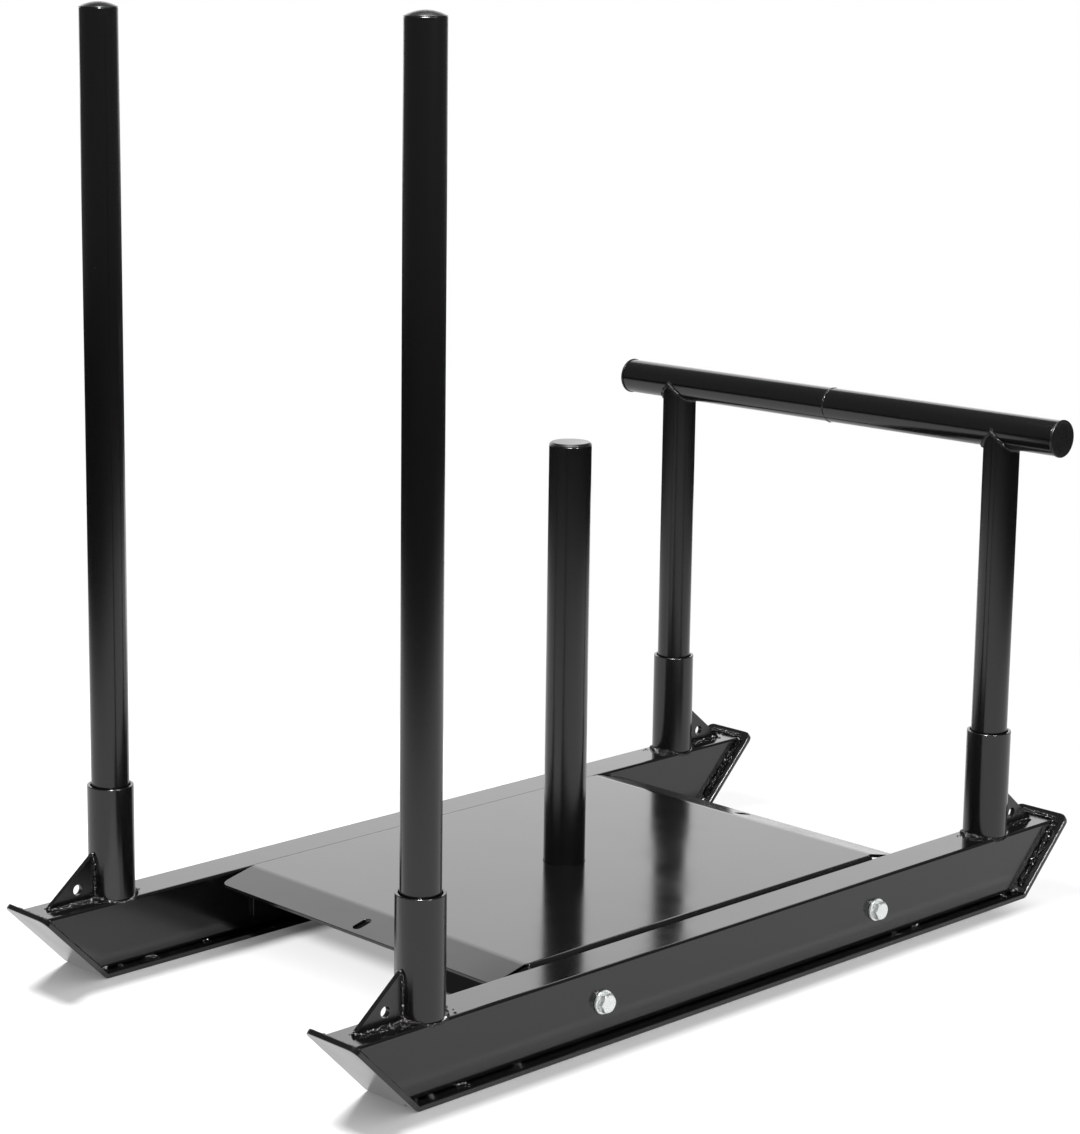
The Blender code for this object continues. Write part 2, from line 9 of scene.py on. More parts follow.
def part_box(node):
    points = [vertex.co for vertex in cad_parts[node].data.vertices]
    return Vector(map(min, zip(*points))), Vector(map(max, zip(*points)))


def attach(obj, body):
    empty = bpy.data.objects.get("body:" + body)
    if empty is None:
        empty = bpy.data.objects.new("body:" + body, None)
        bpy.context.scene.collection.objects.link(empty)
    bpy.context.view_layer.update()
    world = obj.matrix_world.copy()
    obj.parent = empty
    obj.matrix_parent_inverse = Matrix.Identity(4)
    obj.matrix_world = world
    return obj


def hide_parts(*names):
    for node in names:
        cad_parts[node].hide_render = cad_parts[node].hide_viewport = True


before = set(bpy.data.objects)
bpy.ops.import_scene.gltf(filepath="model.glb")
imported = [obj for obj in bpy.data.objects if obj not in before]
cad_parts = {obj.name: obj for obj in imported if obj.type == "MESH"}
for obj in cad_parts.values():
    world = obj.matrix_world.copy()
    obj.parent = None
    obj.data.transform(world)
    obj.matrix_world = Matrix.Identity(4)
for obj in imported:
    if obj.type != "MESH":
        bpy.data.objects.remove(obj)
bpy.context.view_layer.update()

scene = bpy.context.scene

# Camera: it looks down on the sled from beyond the right-hand pole, with a long lens.
# The picture is a crop of a wider one, so the lens is shifted a little.
CAMERA_PLACE = (2.2809, -2.3373, 1.1208)
CAMERA_YAW = math.radians(47.48)
CAMERA_PITCH = math.radians(11.21)
CAMERA_ROLL = math.radians(0.28)
CAMERA_LENS_MM = 92.7
CAMERA_SHIFT = (0.1146, -0.0325)

camera_data = bpy.data.cameras.new("camera")
camera_data.lens = CAMERA_LENS_MM
camera_data.shift_x, camera_data.shift_y = CAMERA_SHIFT
camera = bpy.data.objects.new("camera", camera_data)
scene.collection.objects.link(camera)
camera.matrix_world = (Matrix.Translation(CAMERA_PLACE) @ Matrix.Rotation(CAMERA_YAW, 4, "Z")
                       @ Matrix.Rotation(math.pi / 2 - CAMERA_PITCH, 4, "X")
                       @ Matrix.Rotation(CAMERA_ROLL, 4, "Z"))
scene.camera = camera
scene.view_settings.view_transform = "Standard"

# Floor: a round sheet of white paper on a dark studio floor.
# The sheet ends about two metres out, which is what turns the upper halves of the poles black.
# Under the deck the sheet has painted shade: grey along the near edge and dark behind that.
FLOOR_SIZE = 24.0
SHEET_RADII = (1.45, 2.60)
SHEET_WHITE = 0.97
FLOOR_DARK = 0.012
WHITE_OUT_RADII = (0.95, 1.70)
SHADOW_LIFT = 0.10
FAR_END_Y = (0.40, 0.52)
FAR_END_LIFT = 0.93
# Painted shade under the deck: where it lies and how grey and how dark it is. In reflections it starts
# further forward and the whole sheet is dimmer.
SHADE_X = (0.20, 0.24)
SHADE_FAR_Y = (0.24, 0.28)
SHADE_NEAR_Y = (-0.262, -0.218)
SHADE_GREY = 0.47
DARK_SHIFT_X = (-0.04, 0.02)
DARK_Y = (-0.195, -0.255)
DARK_EDGE = 0.010
DARK_GREY = 0.012
REFLECTED_SHIFT = 0.09
REFLECTED_LEVEL = 0.72


def link(tree, from_socket, to_socket):
    tree.links.new(from_socket, to_socket)


def arithmetic(tree, operation, first, second):
    """A Math node whose two inputs are numbers or sockets. Returns its output."""
    node = tree.nodes.new("ShaderNodeMath")
    node.operation = operation
    for socket, value in zip(node.inputs, (first, second)):
        if isinstance(value, bpy.types.NodeSocket):
            link(tree, value, socket)
        else:
            socket.default_value = value
    return node.outputs["Value"]


def ramp_between(tree, value, start, end, low=0.0, high=1.0):
    """A smooth Map Range node from start..end to low..high. Returns its output."""
    node = tree.nodes.new("ShaderNodeMapRange")
    node.interpolation_type = "SMOOTHSTEP"
    for name, number in (("From Min", start), ("From Max", end), ("To Min", low), ("To Max", high)):
        node.inputs[name].default_value = number
    link(tree, value, node.inputs["Value"])
    return node.outputs["Result"]


def staged(name, bm, finish):
    """A piece of the studio, which isn't part of the sled."""
    mesh = bpy.data.meshes.new(name)
    bm.to_mesh(mesh)
    bm.free()
    mesh.materials.append(finish)
    thing = bpy.data.objects.new(name, mesh)
    scene.collection.objects.link(thing)
    return thing


sheet_paper = bpy.data.materials.new("sheet_paper")
sheet_paper.use_nodes = True
tree = sheet_paper.node_tree
tree.nodes.clear()
place = tree.nodes.new("ShaderNodeTexCoord")
reach = tree.nodes.new("ShaderNodeVectorMath")
reach.operation = "LENGTH"
link(tree, place.outputs["Object"], reach.inputs[0])
split = tree.nodes.new("ShaderNodeSeparateXYZ")
link(tree, place.outputs["Object"], split.inputs[0])
floor_x, floor_y = split.outputs["X"], split.outputs["Y"]
rays = tree.nodes.new("ShaderNodeLightPath")
reflected = rays.outputs["Is Glossy Ray"]
# Painted shade: a mask under the deck greys the paper along its near edge and darkens it behind that, in its
# white glow for the camera too. In reflections the painted shade starts further forward.
shade_y = arithmetic(tree, "ADD", floor_y, arithmetic(tree, "MULTIPLY", reflected, REFLECTED_SHIFT))
under_deck = arithmetic(tree, "MULTIPLY",
                        ramp_between(tree, arithmetic(tree, "ABSOLUTE", floor_x, 0.0), *SHADE_X, 1.0, 0.0),
                        ramp_between(tree, floor_y, *SHADE_FAR_Y, 1.0, 0.0))
dark_edge = arithmetic(tree, "SUBTRACT", shade_y, ramp_between(tree, floor_x, *DARK_SHIFT_X, *DARK_Y))
shade = arithmetic(tree, "MULTIPLY",
                   ramp_between(tree, shade_y, *SHADE_NEAR_Y, 0.0, 1.0 - SHADE_GREY), under_deck)
dark = arithmetic(tree, "MULTIPLY",
                  ramp_between(tree, dark_edge, -DARK_EDGE, DARK_EDGE, 0.0, 1.0 - DARK_GREY), under_deck)
lit = arithmetic(tree, "SUBTRACT", 1.0, arithmetic(tree, "MAXIMUM", shade, dark))
paper = arithmetic(tree, "MULTIPLY", lit,
                   ramp_between(tree, reach.outputs["Value"], *SHEET_RADII, SHEET_WHITE, FLOOR_DARK))
paper = arithmetic(tree, "MULTIPLY", paper, ramp_between(tree, reflected, 0.0, 1.0, 1.0, REFLECTED_LEVEL))
grey = tree.nodes.new("ShaderNodeCombineColor")
for channel in ("Red", "Green", "Blue"):
    link(tree, paper, grey.inputs[channel])
dull = tree.nodes.new("ShaderNodeBsdfDiffuse")
link(tree, grey.outputs["Color"], dull.inputs["Color"])
white = tree.nodes.new("ShaderNodeEmission")
link(tree, lit, white.inputs["Strength"])
white_out = arithmetic(tree, "MAXIMUM",
                       ramp_between(tree, reach.outputs["Value"], *WHITE_OUT_RADII, SHADOW_LIFT, 1.0),
                       ramp_between(tree, floor_y, *FAR_END_Y, 0.0, FAR_END_LIFT))
blend = tree.nodes.new("ShaderNodeMixShader")
link(tree, arithmetic(tree, "MULTIPLY", rays.outputs["Is Camera Ray"], white_out), blend.inputs[0])
link(tree, dull.outputs["BSDF"], blend.inputs[1])
link(tree, white.outputs["Emission"], blend.inputs[2])
surface = tree.nodes.new("ShaderNodeOutputMaterial")
link(tree, blend.outputs["Shader"], surface.inputs["Surface"])

bm = bmesh.new()
bmesh.ops.create_grid(bm, x_segments=1, y_segments=1, size=FLOOR_SIZE / 2)
staged("floor_sheet", bm, sheet_paper)

# Light: an even ambient light and a soft key light from the left, which only the runners keep off the floor.
# A wide lamp overhead and two small ones put the highlights on rims, caps and weld beads.
# The camera and every reflection see a white background.
AMBIENT = 0.60
KEY_DIRECTION = (-0.80, 0.0, 1.5)
KEY_STRENGTH = 2.8
KEY_SOFTNESS = math.radians(15)
HIGHLIGHT_LAMPS = (("wide_lamp", (0.0, 0.2, 3.0), 1.8, 28.0),
                   ("sparkle_lamp", (0.75, -1.0, 2.8), 0.45, 150.0),
                   ("bead_lamp", (2.45, -0.15, 2.35), 0.4, 60.0))

world = bpy.data.worlds.new("studio")
world.use_nodes = True
scene.world = world
tree = world.node_tree
tree.nodes.clear()
rays = tree.nodes.new("ShaderNodeLightPath")
seen = arithmetic(tree, "MAXIMUM", rays.outputs["Is Camera Ray"], rays.outputs["Is Glossy Ray"])
seen = arithmetic(tree, "MAXIMUM", seen, rays.outputs["Is Transmission Ray"])
sky = tree.nodes.new("ShaderNodeBackground")
sky.inputs["Color"].default_value = (1.0, 1.0, 1.0, 1.0)
link(tree, ramp_between(tree, seen, 0.0, 1.0, AMBIENT, 1.0), sky.inputs["Strength"])
sky_out = tree.nodes.new("ShaderNodeOutputWorld")
link(tree, sky.outputs["Background"], sky_out.inputs["Surface"])

for name, place, size, watts in HIGHLIGHT_LAMPS:
    lamp_data = bpy.data.lights.new(name, "AREA")
    lamp_data.size = size
    lamp_data.energy = watts
    lamp = bpy.data.objects.new(name, lamp_data)
    scene.collection.objects.link(lamp)
    lamp.matrix_world = Matrix.Translation(place) @ Vector(place).to_track_quat("Z", "Y").to_matrix().to_4x4()
    lamp.visible_diffuse = lamp.visible_camera = False

key_data = bpy.data.lights.new("key_lamp", "SUN")
key_data.energy = KEY_STRENGTH
key_data.angle = KEY_SOFTNESS
key = bpy.data.objects.new("key_lamp", key_data)
scene.collection.objects.link(key)
key.rotation_euler = Vector(KEY_DIRECTION).to_track_quat("Z", "Y").to_euler()
floor_shadow = bpy.data.collections.new("floor_shadow")
key.light_linking.blocker_collection = floor_shadow
key.visible_glossy = False

# Cards that only reflections see: a dark ceiling with a round hole for the lamp, a dark wall that is open
# behind the sled, a bright panel leaning there, which greys the deck and the beam tops, and sheets on the
# floor, which lighten the deck's far end, the undersides of the near ramps and the feet of the beams.
CEILING_HEIGHT = 2.9
CEILING_HOLE_RADIUS = 0.95
CEILING_REACH = 7.0
WALL_GAP = math.radians(80)
CARD_STEPS = 48
FLAG_GREY = 0.16
PANEL_FOOT = (7.0, 0.60)
PANEL_TOP = (3.3, 2.88)
PANEL_RIGHT = math.radians(22)
PANEL_LEFT = math.radians(45)
PANEL_WHITE = 1.75
FAR_GLOW_HEIGHT = 0.002
FAR_GLOW_RADII = (1.2, 2.8)
FAR_GLOW_START = math.radians(106)
FAR_GLOW_SWEEP = math.radians(25)
FAR_GLOW_WHITE = 1.6
GLOW_HEIGHT = 0.001
GLOW_BOXES = (("ramp_glow", (-0.60, -0.80), (0.29, -0.46), 0.36),
              ("left_foot_glow", (-0.217, -0.46), (-0.18, -0.29), 0.30),
              ("right_foot_glow", (0.293, -0.55), (0.334, 0.62), 0.26),
              ("right_toe_glow", (0.293, -0.55), (0.314, 0.62), 0.30))


def card_finish(name, strength, see_through=False):
    """An even glow, added to what lies behind the card if that shows through."""
    finish = bpy.data.materials.new(name)
    finish.use_nodes = True
    tree = finish.node_tree
    tree.nodes.clear()
    glow = tree.nodes.new("ShaderNodeEmission")
    glow.inputs["Strength"].default_value = strength
    shown = glow.outputs["Emission"]
    if see_through:
        both = tree.nodes.new("ShaderNodeAddShader")
        link(tree, tree.nodes.new("ShaderNodeBsdfTransparent").outputs["BSDF"], both.inputs[0])
        link(tree, shown, both.inputs[1])
        shown = both.outputs["Shader"]
    surface = tree.nodes.new("ShaderNodeOutputMaterial")
    link(tree, shown, surface.inputs["Surface"])
    return finish


def for_reflections_only(card):
    card.visible_camera = card.visible_diffuse = card.visible_shadow = False
    card.visible_transmission = card.visible_volume_scatter = False


def swept_card(name, start, end, first_angle, sweep, finish):
    """A card swept about Z from a line between two (radius, height) points."""
    bm = bmesh.new()
    ends = [bm.verts.new((radius, 0, height)) for radius, height in (start, end)]
    edge = bm.edges.new(ends)
    bmesh.ops.rotate(bm, matrix=Matrix.Rotation(first_angle, 3, "Z"), verts=bm.verts)
    bmesh.ops.spin(bm, geom=ends + [edge], axis=(0, 0, 1), cent=(0, 0, 0), steps=CARD_STEPS,
                   angle=sweep, use_merge=sweep == math.tau)
    for_reflections_only(staged(name, bm, finish))


behind = CAMERA_YAW + math.pi / 2
flag_cloth = card_finish("flag_cloth", FLAG_GREY)
swept_card("ceiling_flag", (CEILING_HOLE_RADIUS, CEILING_HEIGHT), (CEILING_REACH, CEILING_HEIGHT),
           0.0, math.tau, flag_cloth)
swept_card("wall_flag", (CEILING_REACH, 0.0), (CEILING_REACH, CEILING_HEIGHT),
           behind + WALL_GAP / 2, math.tau - WALL_GAP, flag_cloth)
swept_card("panel", PANEL_FOOT, PANEL_TOP, behind - PANEL_RIGHT, PANEL_RIGHT + PANEL_LEFT,
           card_finish("panel_white", PANEL_WHITE))
swept_card("far_glow", *((radius, FAR_GLOW_HEIGHT) for radius in FAR_GLOW_RADII),
           FAR_GLOW_START, FAR_GLOW_SWEEP, card_finish("far_glow_white", FAR_GLOW_WHITE))

for name, *corners, strength in GLOW_BOXES:
    low, high = (Vector((*corner, GLOW_HEIGHT)) for corner in corners)
    bm = bmesh.new()
    bmesh.ops.create_grid(bm, x_segments=1, y_segments=1, size=0.5)
    bmesh.ops.scale(bm, vec=(high.x - low.x, high.y - low.y, 1), verts=bm.verts)
    bmesh.ops.translate(bm, vec=(low + high) / 2, verts=bm.verts)
    for_reflections_only(staged(name, bm, card_finish(name, strength, see_through=True)))

# Runner beams: black powder-coated rectangular steel tube, mitred and welded onto the skids.
# The coat flows over a small radius at each corner and has a fine orange peel.
SIDES = {"left": -1, "right": 1}
BEAM_EDGE = 0.0006
BEAM_CORNER = 0.005
TIGHT_CORNER = 0.0032
CORNER_MISS = 0.0001
EDGE_STEPS = 2
SHARP = math.radians(30)
MERGE = 0.00002
FLAT_ENOUGH = math.radians(0.4)
POWDER_BLACK = (0.0047, 0.0047, 0.0051, 1.0)
POWDER_IOR = 1.58
DUST_GREY = (0.26, 0.26, 0.25, 1.0)
DUST_SCALE = 55.0
DUST_RADII = (0.020, 0.045)
DUST_PATCH_SCALE = 31.0
DUST_PATCH_LIMITS = (0.60, 0.66)
NOISE_LIMITS = (0.3, 0.7)
GLOSS_SCALE = 14.0
WAVE_DEPTH = 0.0008
PEEL_DEPTH = 0.00006


def texture_field(tree, vector, scale, detail=2.0):
    """A Noise Texture node, its scale a number or a socket. Returns its grey output."""
    field = tree.nodes.new("ShaderNodeTexNoise")
    field.inputs["Detail"].default_value = detail
    link(tree, vector, field.inputs["Vector"])
    if isinstance(scale, bpy.types.NodeSocket):
        link(tree, scale, field.inputs["Scale"])
    else:
        field.inputs["Scale"].default_value = scale
    return field.outputs["Fac"]


def new_group(name, inputs, outputs):
    """A shader node group with named inputs (name, kind, default) and outputs (name, kind)."""
    group = bpy.data.node_groups.new(name, "ShaderNodeTree")
    for socket_name, kind, default in inputs:
        socket = group.interface.new_socket(name=socket_name, in_out="INPUT", socket_type=kind)
        socket.default_value = default
    for socket_name, kind in outputs:
        group.interface.new_socket(name=socket_name, in_out="OUTPUT", socket_type=kind)
    given = group.nodes.new("NodeGroupInput").outputs
    made = group.nodes.new("NodeGroupOutput").inputs
    return group, given, made


def powder_coat_group():
    """Orange peel, slow waves of the sheet, uneven gloss and a few specks of dust, on object coordinates."""
    group, given, made = new_group(
        "powder_coat",
        (("Colour", "NodeSocketColor", POWDER_BLACK), ("Dust", "NodeSocketColor", DUST_GREY),
         ("Dust Amount", "NodeSocketFloat", 0.5), ("Gloss Low", "NodeSocketFloat", 0.10),
         ("Gloss High", "NodeSocketFloat", 0.18), ("Peel Scale", "NodeSocketFloat", 420.0),
         ("Peel Height", "NodeSocketFloat", 0.25), ("Wave Scale", "NodeSocketFloat", 9.0),
         ("Wave Height", "NodeSocketFloat", 0.05), ("Drawn", "NodeSocketVector", (1, 1, 1))),
        (("Colour", "NodeSocketColor"), ("Roughness", "NodeSocketFloat"), ("Normal", "NodeSocketVector")))
    place = group.nodes.new("ShaderNodeTexCoord").outputs["Object"]
    stretch = group.nodes.new("ShaderNodeVectorMath")
    stretch.operation = "MULTIPLY"
    link(group, place, stretch.inputs[0])
    link(group, given["Drawn"], stretch.inputs[1])
    drawn = stretch.outputs["Vector"]

    gloss = group.nodes.new("ShaderNodeMapRange")
    gloss.inputs["From Min"].default_value, gloss.inputs["From Max"].default_value = NOISE_LIMITS
    link(group, texture_field(group, drawn, GLOSS_SCALE), gloss.inputs["Value"])
    link(group, given["Gloss Low"], gloss.inputs["To Min"])
    link(group, given["Gloss High"], gloss.inputs["To Max"])
    link(group, gloss.outputs["Result"], made["Roughness"])

    specks = group.nodes.new("ShaderNodeTexVoronoi")
    specks.inputs["Scale"].default_value = DUST_SCALE
    link(group, place, specks.inputs["Vector"])
    dot = ramp_between(group, specks.outputs["Distance"], *DUST_RADII, 1.0, 0.0)
    patch = ramp_between(group, texture_field(group, place, DUST_PATCH_SCALE, 1.0), *DUST_PATCH_LIMITS)
    dusty = arithmetic(group, "MULTIPLY", arithmetic(group, "MULTIPLY", dot, patch), given["Dust Amount"])
    colour = group.nodes.new("ShaderNodeMix")
    colour.data_type = "RGBA"
    link(group, dusty, colour.inputs["Factor"])
    link(group, given["Colour"], colour.inputs["A"])
    link(group, given["Dust"], colour.inputs["B"])
    link(group, colour.outputs["Result"], made["Colour"])

    wave = group.nodes.new("ShaderNodeBump")
    wave.inputs["Distance"].default_value = WAVE_DEPTH
    link(group, given["Wave Height"], wave.inputs["Strength"])
    link(group, texture_field(group, drawn, given["Wave Scale"], 1.0), wave.inputs["Height"])
    peel = group.nodes.new("ShaderNodeBump")
    peel.inputs["Distance"].default_value = PEEL_DEPTH
    link(group, given["Peel Height"], peel.inputs["Strength"])
    link(group, texture_field(group, place, given["Peel Scale"]), peel.inputs["Height"])
    link(group, wave.outputs["Normal"], peel.inputs["Normal"])
    link(group, peel.outputs["Normal"], made["Normal"])
    return group


powder_coat = powder_coat_group()


def coated(name, colour=POWDER_BLACK, ior=POWDER_IOR, **settings):
    """A coated or moulded black finish: the shader stays here and the group feeds it."""
    finish = bpy.data.materials.new(name)
    finish.use_nodes = True
    tree = finish.node_tree
    shader = tree.nodes["Principled BSDF"]
    shader.inputs["IOR"].default_value = ior
    coat = tree.nodes.new("ShaderNodeGroup")
    coat.node_tree = powder_coat
    coat.inputs["Colour"].default_value = colour
    for key, value in settings.items():
        coat.inputs[key.replace("_", " ")].default_value = value
    link(tree, coat.outputs["Colour"], shader.inputs["Base Color"])
    link(tree, coat.outputs["Roughness"], shader.inputs["Roughness"])
    link(tree, coat.outputs["Normal"], shader.inputs["Normal"])
    return finish


def add_piece(name, bm, finish, body, node=None, edge=None):
    """Makes a finished mesh a piece that rides on a body, its sharp edges rounded by a bevel if an edge is
    given.

    The piece stands for a node if one is named.
    """
    mesh = bpy.data.meshes.new(name)
    bm.to_mesh(mesh)
    bm.free()
    mesh.materials.append(finish)
    mesh.shade_smooth()
    mesh.set_sharp_from_angle(angle=SHARP)
    piece = bpy.data.objects.new(name, mesh)
    scene.collection.objects.link(piece)
    if edge:
        bevel = piece.modifiers.new("edges", "BEVEL")
        bevel.width = edge
        bevel.segments = EDGE_STEPS
        bevel.limit_method = "ANGLE"
        bevel.angle_limit = SHARP
        flats = piece.modifiers.new("flats", "WEIGHTED_NORMAL")
        flats.keep_sharp = True
    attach(piece, body)
    if node:
        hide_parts(node)
    return piece


def copied(node):
    """A node's solid with its triangles joined and its flats made whole, ready for finer edges."""
    bm = bmesh.new()
    bm.from_mesh(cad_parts[node].data)
    bmesh.ops.remove_doubles(bm, verts=bm.verts, dist=MERGE)
    bmesh.ops.dissolve_limit(bm, angle_limit=FLAT_ENOUGH, verts=bm.verts, edges=bm.edges,
                             use_dissolve_boundaries=False)
    return bm


def tighten_corners(bm, low, high):
    """Draws the round corners of a beam tighter. Its mitred ends stay on their slope."""
    corners = [(x, out, z, rise)
               for x, out in ((low.x, -1), (high.x, 1))
               for z, rise in ((low.z, -1), (high.z, 1))]
    for vert in bm.verts:
        for x, out, z, rise in corners:
            arm = vert.co - Vector((x - out * BEAM_CORNER, vert.co.y, z - rise * BEAM_CORNER))
            on_corner = arm.x * out > -MERGE and arm.z * rise > -MERGE
            if on_corner and abs(arm.length - BEAM_CORNER) < CORNER_MISS:
                shift = (BEAM_CORNER - TIGHT_CORNER) * (Vector((out, 0, rise)) - arm / BEAM_CORNER)
                shift.y = shift.z if vert.co.y > 0 else -shift.z
                vert.co += shift
                break


beam_coat = coated("beam_coat")
for side_name in SIDES:
    node = f"{side_name}_runner_beam"
    bm = copied(node)
    tighten_corners(bm, *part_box(node))
    beam = add_piece(f"{node}_coated", bm, beam_coat, "sled", node, BEAM_EDGE)
    floor_shadow.objects.link(beam)

# Skids: flat steel strip, sawn, bent up at both ends and welded under the beams, then coated with them.
# Its edges are broken by the coat and its lips have round corners.
SKID_EDGE = 0.0008
skid_coat = coated("skid_coat", Gloss_Low=0.14, Gloss_High=0.24)
for side_name in SIDES:
    node = f"{side_name}_runner_skid"
    skid = add_piece(f"{node}_coated", copied(node), skid_coat, "sled", node, SKID_EDGE)
    floor_shadow.objects.link(skid)

# Sockets: short lengths of round steel tube on the beams, which hold the poles and the push bar.
# Each is sawn square, broken at the rim and welded round its foot.
ENDS = {"pole": -1, "bar": 1}
SOCKET_WALL = 0.0035
RIM_EDGE = 0.0007
TUBE_STEPS = 96
TUBE_DRAWN = 0.04
FINE_MERGE = 0.000002


def turned_tube(radius, wall, start, end, middle, lying=False):
    """A tube spun about Z from the cut through its wall. It is laid along X if it lies."""
    bm = bmesh.new()
    outline = ((radius - wall, start), (radius, start), (radius, end), (radius - wall, end))
    corners = [bm.verts.new((x, 0, z)) for x, z in outline]
    for pair in zip(corners, corners[1:] + corners[:1]):
        bm.edges.new(pair)
    bmesh.ops.spin(bm, geom=bm.verts[:] + bm.edges[:], axis=(0, 0, 1), cent=(0, 0, 0),
                   steps=TUBE_STEPS, angle=math.tau, use_merge=True)
    bmesh.ops.remove_doubles(bm, verts=bm.verts, dist=FINE_MERGE)
    bmesh.ops.recalc_face_normals(bm, faces=bm.faces)
    turn = Matrix.Rotation(math.pi / 2, 4, "Y") if lying else Matrix.Identity(4)
    bmesh.ops.transform(bm, matrix=Matrix.Translation(middle) @ turn, verts=bm.verts)
    return bm


def upright_tube(node, wall):
    """A round upright tube in place of a node's facets."""
    low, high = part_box(node)
    middle = (low + high) / 2
    return turned_tube((high.x - low.x) / 2, wall, low.z, high.z, (middle.x, middle.y, 0))


tube_coat = coated("tube_coat", Gloss_Low=0.13, Gloss_High=0.26, Wave_Scale=60.0, Drawn=(1, 1, TUBE_DRAWN))
for side_name in SIDES:
    for end_name in ENDS:
        node = f"{side_name}_{end_name}_socket"
        add_piece(f"{node}_coated", upright_tube(node, SOCKET_WALL), tube_coat, "sled",
                  node, RIM_EDGE)

# Gussets: small steel plates cut on a slope, drilled for a strap hook and welded between socket and beam.
# The coat leaves their sawn edges soft.
GUSSET_EDGE = 0.0011
for side_name in SIDES:
    for end_name in ENDS:
        node = f"{side_name}_{end_name}_gusset"
        add_piece(f"{node}_coated", copied(node), skid_coat, "sled", node, GUSSET_EDGE)

# Runner welds: fillets laid by hand round each socket, along each gusset and up each mitred end, and short
# stitches along the skid. They are ropes of overlapping ripples under the same coat as the steel.
RIPPLE_PITCH = 0.0024
RIPPLE_STEPS = 4
RIPPLE_DEPTH = 0.22
RIPPLE_LAG = 0.35
LUMPS = ((170.0, 0.32), (560.0, 0.38), (1300.0, 0.26))
BEAD_SIDES = 24

SOCKET_BEAD = 0.0080
SOCKET_BEAD_THIN = 0.45
LEVEL_TOP = 0.8               # the share of a beam's width between its round corners
CORNER_SLOPE = 0.45

GUSSET_BEAD = 0.0056
GUSSET_TOE_OVERRUN = 0.002
GUSSET_SEAT_BEAD = 0.00448
GUSSET_SEAT_OVERRUN = 0.001
GUSSET_TOE_BEAD = 0.00728
GUSSET_TOE_HALF = 0.004
GUSSET_TOE_RISE = 0.001
GUSSET_HEAD_BEAD = 0.00672
GUSSET_HEAD_HALF = 0.0045
GUSSET_HEAD_STEP = 0.001

RAMP_BEAD = 0.0096
RAMP_BEAD_SHARE = 0.93
POLE_END_THINNER = 0.6
BLOB = 0.0060
BLOB_HALF = 0.0036
BLOB_INSET = 0.0018
BLOB_SETBACK = 0.0015
BLOB_SINK = 0.0015
HEEL_REACH = 0.009
HEEL_RISE = 0.001
LIP_BEAD = 0.0038
LIP_BEAD_SHORT = 0.001
LIP_BEAD_PLACES = ((-0.00147, 0.0008), (0.00147, 0.00248))

STITCH_BEAD = 0.0036
STITCHES = ((-0.472, 0.008), (-0.430, 0.016), (-0.350, 0.010),
            (0.262, 0.010), (0.300, 0.016), (0.470, 0.010))

SPATTER_RADII = (0.0005, 0.0014)
SPATTER_FROM = 0.2
SOCKET_SPATTER, SOCKET_SPATTER_REACH = 64, 0.016
GUSSET_SPATTER, GUSSET_SPATTER_REACH = 16, 0.008
STITCH_SPATTER, STITCH_SPATTER_REACH = 7, 0.0112
luck = random.Random(7)


def bead(bm, path, length, width, closed=False):
    """Lays a weld bead. path(share) gives its place and two directions across, for a share from 0 to 1."""
    ripples = max(2, round(length / RIPPLE_PITCH))
    grid = bmesh.ops.create_grid(bm, x_segments=ripples * RIPPLE_STEPS, y_segments=BEAD_SIDES, size=0.5)
    for vert in grid["verts"]:
        share, turn = vert.co.x + 0.5, (vert.co.y + 0.5) * math.tau
        place, out, up = path(share)
        phase = (share * ripples - RIPPLE_LAG * math.cos(turn)) % 1.0
        direction = out * math.cos(turn) + up * math.sin(turn)
        swell = 1.0 - RIPPLE_DEPTH * phase
        for scale, depth in LUMPS:
            swell += depth * noise.noise((place + direction * width / 4) * scale)
        if not closed:
            nearness = min(1.0, min(share, 1.0 - share) * length / (width / 2))
            swell *= math.sqrt(max(0.0, 1.0 - (1.0 - nearness) ** 2))
        vert.co = place + direction * (width / 2 * swell)
    bmesh.ops.remove_doubles(bm, verts=grid["verts"], dist=FINE_MERGE)


def straight(start, end, out=(1, 0, 0), up=(0, 0, 1)):
    """A path from one point to another, with its length."""
    start, end, out, up = (Vector(v) for v in (start, end, out, up))
    return (lambda share: (start.lerp(end, share), out, up)), (end - start).length


def cross_bead(bm, middle, half, width, out_y=1):
    """A bead laid along X across a beam, half to each side of its middle."""
    reach = Vector((half, 0, 0))
    bead(bm, *straight(middle - reach, middle + reach, (0, out_y, 0)), width)


def outward(share):
    """The level direction away from an upright axis at a share of a full turn."""
    turn = share * math.tau
    return Vector((math.cos(turn), math.sin(turn), 0))


def two_faces(low, high):
    """The places of a box's two side faces in X, each with its outward direction."""
    return (low.x, -1), (high.x, 1)


def spatter(bm, count, path, level, reach, low_x, high_x):
    """Small drops of weld metal on a level face, scattered about a path between two places in X."""
    for _ in range(count):
        place, out, _ = path(luck.random())
        place = place + out * luck.uniform(SPATTER_FROM, 1.0) ** 2 * reach
        radius = luck.uniform(*SPATTER_RADII)
        if low_x + radius < place.x < high_x - radius:
            place.z = level
            bmesh.ops.create_icosphere(bm, subdivisions=2, radius=radius, matrix=Matrix.Translation(place))


